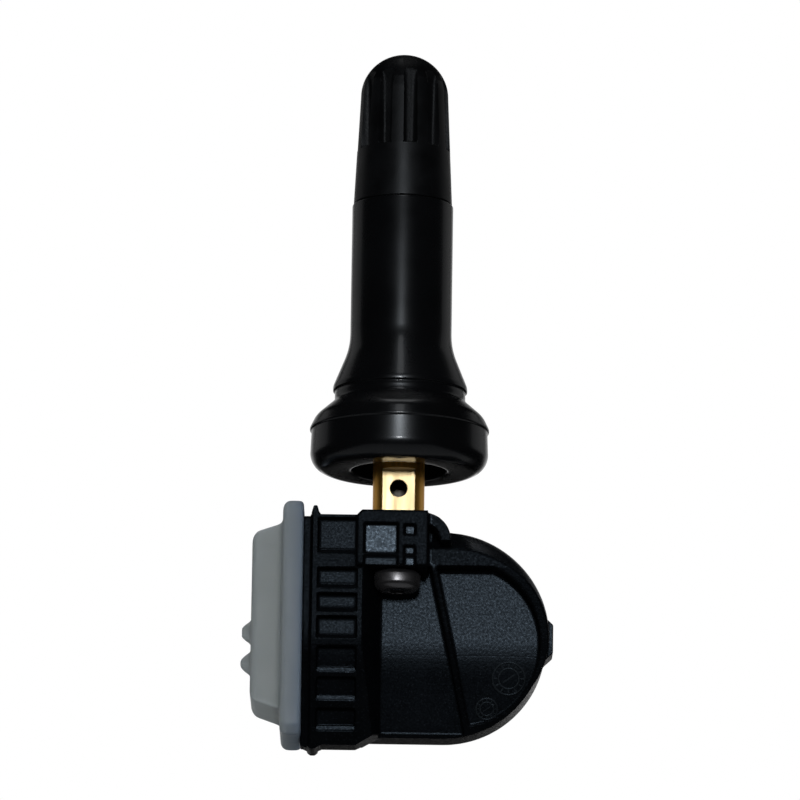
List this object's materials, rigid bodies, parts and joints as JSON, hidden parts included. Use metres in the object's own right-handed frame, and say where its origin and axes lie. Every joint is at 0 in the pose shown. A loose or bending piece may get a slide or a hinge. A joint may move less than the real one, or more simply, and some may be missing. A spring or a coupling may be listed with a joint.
{
  "type": "tyre pressure sensor",
  "caption": "Tyre pressure sensor on a snap-in rubber valve: fluted cap, flanged rubber stem, brass tang with cross hole, ribbed sealed box with round battery end and grey lid.",
  "frame": {"origin": "on the valve axis, at the middle of the groove that sits in the rim's valve hole", "axes": "+Z along the valve axis from the sensor box to the cap, +X along the sensor box towards its round battery end, -Y out of the ribbed front"},
  "size_m": [0.0331, 0.0195, 0.075],
  "materials": {
    "cap_plastic": "moulded satin black plastic",
    "seal_rubber": "soft black sealing rubber",
    "valve_rubber": "glossy black moulded rubber",
    "stem_brass": "turned and milled bright brass",
    "core_brass": "turned brass",
    "core_seal_plastic": "white low-friction sealing plastic",
    "spring_steel": "drawn spring wire",
    "screw_steel": "black coated steel, glossy",
    "housing_plastic": "black glass-filled plastic, spark-eroded grain",
    "lid_plastic": "grey laser-transparent plastic, frosted",
    "board_laminate": "green solder mask on glass laminate",
    "cell_steel": "pressed nickel-plated steel can",
    "tab_nickel": "nickel strip",
    "chip_plastic": "moulded black epoxy",
    "silicone": "translucent grey silicone",
    "ferrite": "sintered dark ferrite",
    "copper_wire": "enamelled copper wire",
    "capacitor_body": "tan ceramic chip"
  },
  "bodies": {
    "sensor": {"valve_rubber": "valve_rubber", "brass_stem": "stem_brass", "core_plug": "core_brass", "core_barrel": "core_brass", "core_seal": "core_seal_plastic", "core_spring": "spring_steel", "fixing_screw": "screw_steel", "housing": "housing_plastic", "lid": "lid_plastic", "circuit_board": "board_laminate", "coin_cell": "cell_steel", "cell_tab_plus": "tab_nickel", "cell_tab_minus": "tab_nickel", "pressure_chip": "chip_plastic", "port_gasket": "silicone", "coil_core": "ferrite", "coil_winding": "copper_wire", "crystal": "tab_nickel", "antenna_strip": "tab_nickel", "chip_capacitors": "capacitor_body", "chip_resistors": "chip_plastic", "chip_inductors": "ferrite"},
    "cap_carrier": {"cap_seal": "seal_rubber"},
    "cap": {"valve_cap": "cap_plastic"},
    "core_needle": {"core_pin": "core_brass", "core_cup": "seal_rubber"}
  },
  "joints": [
    {"name": "cap_lift", "type": "slide", "parent": "sensor", "child": "cap_carrier", "axis": [0, 0, 1], "range_m": [0, 0.00397]},
    {"name": "cap_turn", "type": "hinge", "parent": "cap_carrier", "child": "cap", "pos_m": [0, 0, 0.0212], "axis": [0, 0, 1], "range_deg": [0, 1800]},
    {"name": "core_pin_press", "type": "slide", "parent": "sensor", "child": "core_needle", "axis": [0, 0, -1], "range_m": [0, 0.001], "stiffness_N_per_m": 1000, "springref_m": -0.002, "deforming": ["core_spring"]}
  ],
  "couplings": [
    {"joint": "cap_turn", "follows": "cap_lift", "rad_per_m": 7913.3}
  ]
}
